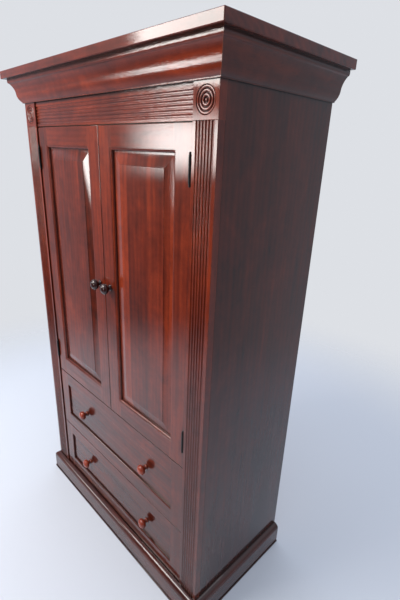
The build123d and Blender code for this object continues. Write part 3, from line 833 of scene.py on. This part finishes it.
def fitting_finish(name, base, roughness, metallic):
    """Clouded metal or plastic with a fine grain and rubbed arrises."""
    material = bpy.data.materials.new(name)
    material.use_nodes = True
    tree = material.node_tree
    skin = tree.nodes["Principled BSDF"]
    place = add_node(tree, "ShaderNodeTexCoord").outputs["Object"]
    cloudy = add_node(tree, "ShaderNodeTexNoise", {"Vector": place, "Scale": 90.0, "Detail": 4.0}).outputs[0]
    grainy = add_node(tree, "ShaderNodeTexNoise", {"Vector": place, "Scale": 900.0, "Detail": 2.0}).outputs[0]
    arris = add_node(tree, "ShaderNodeAmbientOcclusion", {"Distance": 1.0 * MM}, samples=6, inside=True)
    rubbed = mapped(tree, arris.outputs["AO"], 0.7, 0.3, 0.0, 0.5)
    lighter = [min(1.0, c * 1.6 + 0.02) for c in base]
    worn = [min(1.0, c * 2.5 + 0.08) for c in base]
    edged = mixed(tree, rubbed, mixed(tree, cloudy, base, lighter), worn)
    tree.links.new(edged, skin.inputs["Base Color"])
    smear = mapped(tree, cloudy, 0.3, 0.7, roughness - 0.08, roughness + 0.1)
    tree.links.new(smear, skin.inputs["Roughness"])
    cast = add_node(tree, "ShaderNodeBump", {"Strength": 0.2, "Distance": 0.05 * MM, "Height": grainy})
    tree.links.new(cast.outputs[0], skin.inputs["Normal"])
    skin.inputs["Metallic"].default_value = metallic
    return material


def repeat_tree():
    """A node tree that sets copies of a shape in a row: Count of them, from Start, each Step further."""
    tree = bpy.data.node_groups.new("row_of_pieces", "GeometryNodeTree")
    tree.is_modifier = True
    wanted = (
        ("Shape", "NodeSocketGeometry"),
        ("Count", "NodeSocketInt"),
        ("Start", "NodeSocketVector"),
        ("Step", "NodeSocketVector"),
        ("Finish", "NodeSocketMaterial"),
    )
    for name, kind in wanted:
        tree.interface.new_socket(name=name, in_out="INPUT", socket_type=kind)
    tree.interface.new_socket(name="Row", in_out="OUTPUT", socket_type="NodeSocketGeometry")
    given = tree.nodes.new("NodeGroupInput")
    asked = given.outputs
    spacing = {"Count": asked["Count"], "Start Location": asked["Start"], "Offset": asked["Step"]}
    line = add_node(tree, "GeometryNodeMeshLine", spacing, mode="OFFSET")
    copies = {"Points": line.outputs[0], "Instance": asked["Shape"]}
    placed = add_node(tree, "GeometryNodeInstanceOnPoints", copies)
    real = add_node(tree, "GeometryNodeRealizeInstances", {0: placed.outputs[0]})
    finished = {"Geometry": real.outputs[0], "Material": asked["Finish"]}
    painted = add_node(tree, "GeometryNodeSetMaterial", finished)
    result = tree.nodes.new("NodeGroupOutput")
    tree.links.new(painted.outputs[0], result.inputs[0])
    return tree


row_of_pieces = repeat_tree()


def in_a_row(shape, count, start, step, material):
    """Copies of a mesh in a row, as one plain mesh."""
    holder = add_object(shape.name, shape)
    row = holder.modifiers.new("row", "NODES")
    row.node_group = row_of_pieces
    values = {"Count": count, "Start": start, "Step": step, "Finish": material}
    for socket in row_of_pieces.interface.items_tree:
        if socket.in_out == "INPUT" and socket.name in values:
            row[socket.identifier] = values[socket.name]
    done = modified(holder)
    bpy.data.objects.remove(holder)
    return done


def turned(name, outline, axis, segments):
    """A shape turned on the lathe from its outline, each (radius, distance along the axis)."""
    points, faces = [], []
    toward = Vector([1.0 if i == axis else 0.0 for i in range(3)])
    across = Vector([1.0 if i == (axis + 1) % 3 else 0.0 for i in range(3)])
    other = toward.cross(across)
    for radius, along in outline:
        for i in range(segments):
            angle = 2 * pi * i / segments
            points.append(toward * along + across * radius * cos(angle) + other * radius * sin(angle))
    for ring in range(len(outline) - 1):
        for i in range(segments):
            j = (i + 1) % segments
            a = ring * segments
            faces.append((a + i, a + j, a + segments + j, a + segments + i))
    if outline[0][0] > 0:
        faces.append(tuple(range(segments)))
    if outline[-1][0] > 0:
        faces.append(tuple(range(len(points) - segments, len(points))))
    return closed_mesh(name, points, faces)


black_iron = fitting_finish("black_iron", (0.012, 0.011, 0.011), 0.38, 0.85)
knuckle_gap = 0.3 * MM
knuckle_count = 5
knuckle_height = (hinge_height - (knuckle_count - 1) * knuckle_gap) / knuckle_count
knuckle_pitch = knuckle_height + knuckle_gap
knuckle_radius = 4.2 * MM
pin_radius = 2.4 * MM
tip_radius = 3.4 * MM
hinge_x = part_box("hinge_pins")[1].x - tip_radius
hinge_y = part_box("hinge_pins")[1].y - tip_radius
lip = 0.5 * MM
knuckle_outline = [
    (0, 0),
    (knuckle_radius - lip, 0),
    (knuckle_radius, lip),
    (knuckle_radius, knuckle_height - lip),
    (knuckle_radius - lip, knuckle_height),
    (0, knuckle_height),
]
knuckle = turned("knuckle", knuckle_outline, 2, 32)
screw_radius = 2.7 * MM
screw_dome = 0.35 * MM
screw_shoulder = (0.6 * screw_radius, 0.7 * screw_dome)
screw_outline = [(0, -screw_dome), (screw_shoulder[0], -screw_shoulder[1]), (screw_radius, 0)]
screw_outline += [screw_shoulder, (0, screw_dome)]
leaf_screw = turned("leaf_screw", screw_outline, 0, 20)
screw_count = 3
screw_spacing = 26 * MM


def hinge_leaf(sign, level, inner_x, outer_x, first, bare_x):
    """A leaf with every other knuckle, from the first one named, and three screws in its bare face."""
    bottom = level - hinge_height / 2
    xs = sorted((sign * inner_x, sign * outer_x))
    back = front_y + leaf_width
    outline = [(xs[0], front_y), (xs[1], front_y), (xs[1], back), (xs[0], back)]
    plate = prism("leaf", outline, 2, bottom, bottom + hinge_height, 0.2 * MM)
    count = len(range(first, knuckle_count, 2))
    start = (sign * hinge_x, hinge_y, bottom + first * knuckle_pitch)
    barrels = in_a_row(knuckle.copy(), count, start, (0, 0, 2 * knuckle_pitch), black_iron)
    ties = []
    tie_back = front_y + lip
    web = [(xs[0], hinge_y), (xs[1], hinge_y), (xs[1], tie_back), (xs[0], tie_back)]
    for index in range(first, knuckle_count, 2):
        z = bottom + index * knuckle_pitch
        ties.append(prism("web", web, 2, z + lip, z + knuckle_height - lip))
    start = (sign * bare_x, front_y + leaf_width / 2, level - screw_spacing)
    screws = in_a_row(leaf_screw.copy(), screw_count, start, (0, 0, screw_spacing), black_iron)
    return [plate, barrels, screws, *ties]


hinge_levels_found = hinge_levels("right")
opening_half = abs(post_low.x)
frame_leaves = []
for sign in sides.values():
    for level in hinge_levels_found:
        bare_x = opening_half - leaf_thickness
        frame_leaves += hinge_leaf(sign, level, bare_x, opening_half, 0, bare_x)
finish("frame_leaves", joined(frame_leaves), black_iron, "carcase", ["frame_hinge_leaves"])
for side, sign in sides.items():
    outer_x = max(abs(corner.x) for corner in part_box(f"{side}_door_stiles"))
    leaves = []
    for level in hinge_levels_found:
        leaves += hinge_leaf(sign, level, outer_x - leaf_thickness, outer_x, 1, outer_x)
    leaf_node = f"{side}_door_hinge_leaves"
    finish(f"{side}_door_leaves", joined(leaves), black_iron, f"{side}_door", [leaf_node])

pin_half = hinge_height / 2 + knuckle_gap
pin_outline = [(0, -pin_half - 2 * tip_radius)]
pin_outline += arc((0, -pin_half - tip_radius), tip_radius, -75, 45, 8)
pin_outline.append((pin_radius, -pin_half))
pin_outline += [(radius, -along) for radius, along in reversed(pin_outline)]
pins = []
for sign in sides.values():
    start = (sign * hinge_x, hinge_y, hinge_levels_found[0])
    step = (0, 0, hinge_levels_found[1] - hinge_levels_found[0])
    pins.append(in_a_row(turned("pin", pin_outline, 2, 28), 2, start, step, black_iron))
finish("pins_with_ball_tips", joined(pins), black_iron, "carcase", ["hinge_pins"])


# ---- Drawer fronts ----
# Framed like the doors but with a narrow chamfer round a flat, sunken panel, which carries the
# knobs. A plain box of pale wood with a plywood bottom is fixed behind each front.

drawer_rails = {"upper": 67 * MM, "lower": 57 * MM}
drawer_bevel = 2.5 * MM
drawer_panel_depth = 8 * MM

for i, (which, rail) in enumerate(drawer_rails.items()):
    name = f"{which}_drawer"
    low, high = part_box(f"{name}_stiles")
    outline = (low.x, low.z, high.x, high.z)
    clear = (low.x + stile_width, low.z + rail, high.x - stile_width, high.z - rail)
    inner = [(drawer_bevel + 0.3 * MM, 0), (drawer_bevel, 0.1 * MM), (0, drawer_bevel)]
    stile_mesh, rail_mesh = stiles_and_rails(f"{name}_frame", outline, clear, inner)
    cherry_stile = cherry(f"cherry_{which}_stile", "Z", (1.3 + i, 5.3, 2.4))
    cherry_rail = cherry(f"cherry_{which}_rail", "X", (3.7 + i, 2.9, 4.7))
    cherry_field = cherry(f"cherry_{which}_field", "X", (6.6 + i, 3.9, 1.2), depth=0.85)
    finish(f"{name}_uprights", stile_mesh, cherry_stile, name, [f"{name}_stiles"])
    finish(f"{name}_cross_rails", rail_mesh, cherry_rail, name, [f"{name}_rails"])
    rings = [
        (grown(clear, tongue_reach), front_y + drawer_panel_depth + tongue_thickness),
        (grown(clear, tongue_reach), front_y + drawer_panel_depth),
    ]
    panel_mesh = rectangle_rings(f"{name}_flat_panel", rings, True, 0.2 * MM)
    finish(f"{name}_flat_panel", panel_mesh, cherry_field, name, [f"{name}_panel"])

box_wood = plain_board_finish("box_wood", "Y", (1.1, 0.4, 2.9))


def keep_solid(node, material):
    """Keeps a plain solid as it is and gives it its finish."""
    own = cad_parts[node]
    own.data.materials.clear()
    own.data.materials.append(material)


for which in drawer_rails:
    for part in ("box_sides", "box_back", "box_bottom"):
        node = f"{which}_drawer_{part}"
        keep_solid(node, plywood if part == "box_bottom" else box_wood)


# ---- Knobs ----
# Turned knobs with a domed head, a waist and a small foot, each held by a screw from behind. Those
# of the drawers take a brighter red than the fronts, partly as painted light where they catch the
# window, and those of the doors are nearly black.

knob_projection = 38 * MM
head_radius = 20.5 * MM
head_rise = 12.5 * MM
head_fullness = 0.9
under_radius = 15 * MM
under_height = 16 * MM
neck_radius = 8 * MM
neck_height = 10 * MM
foot_radius = 12 * MM
foot_thickness = 2 * MM
foot_ease = 0.4 * MM


def quarter_turn(steps):
    """Angles from the first of some even steps up to a right angle."""
    return [pi / 2 * i / steps for i in range(1, steps + 1)]


def knob_outline():
    """Radius and height of a knob, from the foot to the crown of its head."""
    eased_foot = foot_radius - foot_ease
    outline = [
        (0, 0),
        (eased_foot, 0),
        (foot_radius, foot_ease),
        (foot_radius, foot_thickness - 0.75 * foot_ease),
        (eased_foot, foot_thickness),
    ]
    for t in quarter_turn(8):
        radius = neck_radius + (eased_foot - neck_radius) * (1 - sin(t))
        outline.append((radius, foot_thickness + (neck_height - foot_thickness) * (1 - cos(t))))
    for t in quarter_turn(10):
        radius = neck_radius + (under_radius - neck_radius) * (1 - cos(t))
        outline.append((radius, neck_height + (under_height - neck_height) * sin(t)))
    rim_height = knob_projection - head_rise
    for t in quarter_turn(8):
        radius = under_radius + (head_radius - under_radius) * sin(t)
        outline.append((radius, rim_height - (rim_height - under_height) * cos(t)))
    for t in quarter_turn(16)[:-1]:
        outline.append((head_radius * cos(t) ** head_fullness, rim_height + head_rise * sin(t)))
    outline.append((0, knob_projection))
    return outline


def knob_mesh():
    """A knob that stands out towards -Y from the origin."""
    return turned("knob", [(radius, -height) for radius, height in knob_outline()], 1, 64)


door_knob_tones = ((0.010, 0.003, 0.003), (0.026, 0.005, 0.004), (0.060, 0.010, 0.006), (0.10, 0.02, 0.01))
door_knob_wood = stained_wood("door_knob_wood", "Y", (0.2, 0.2, 0.2), door_knob_tones, 1.0)
# Brighter tones for the drawer knobs: partly their own colour, partly painted light where they catch the
# window.
drawer_knob_depth = 1.5
drawer_knob_tones = [[c * drawer_knob_depth for c in tone] for tone in cherry_tones]
drawer_knob_wood = stained_wood("drawer_knob_wood", "Y", (0.5, 0.1, 0.9), drawer_knob_tones, 1.0)
for side in sides:
    low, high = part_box(f"{side}_door_knob")
    start = ((low.x + high.x) / 2, front_y, (low.z + high.z) / 2)
    mesh = in_a_row(knob_mesh(), 1, start, (0, 0, 0), door_knob_wood)
    finish(f"{side}_door_turned_knob", mesh, door_knob_wood, f"{side}_door", [f"{side}_door_knob"])
for which in drawer_rails:
    name = f"{which}_drawer"
    low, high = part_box(f"{name}_knobs")
    radius = (high.z - low.z) / 2
    start = (low.x + radius, front_y + drawer_panel_depth, (low.z + high.z) / 2)
    step = (high.x - low.x - 2 * radius, 0, 0)
    mesh = in_a_row(knob_mesh(), 2, start, step, drawer_knob_wood)
    finish(f"{name}_turned_knobs", mesh, drawer_knob_wood, name, [f"{name}_knobs"])


# ---- Inside fittings ----
# Wooden drawer runners, a door stop, a hat shelf on steel pins, a chromed hanging rod in two cups,
# two plastic catches with steel strikes, and the steel screws of the knobs.

keep_solid("drawer_runners", box_wood)
keep_solid("door_stop", inside_across)
board("hat_board", "hat_shelf", inside_across, "carcase", 0.8 * MM)
bright_steel = fitting_finish("bright_steel", (0.50, 0.50, 0.51), 0.30, 1.0)
chromed = fitting_finish("chromed", (0.62, 0.62, 0.63), 0.14, 1.0)
black_plastic = fitting_finish("black_plastic", (0.014, 0.014, 0.015), 0.42, 0.0)
keep_solid("shelf_pins", bright_steel)
for side in sides:
    keep_solid(f"{side}_door_strike", bright_steel)
    keep_solid(f"{side}_door_knob_screw", bright_steel)
for which in drawer_rails:
    keep_solid(f"{which}_drawer_knob_screws", bright_steel)
for node in ("hanging_rod", "rod_sockets"):
    keep_solid(node, chromed)
keep_solid("door_catches", black_plastic)
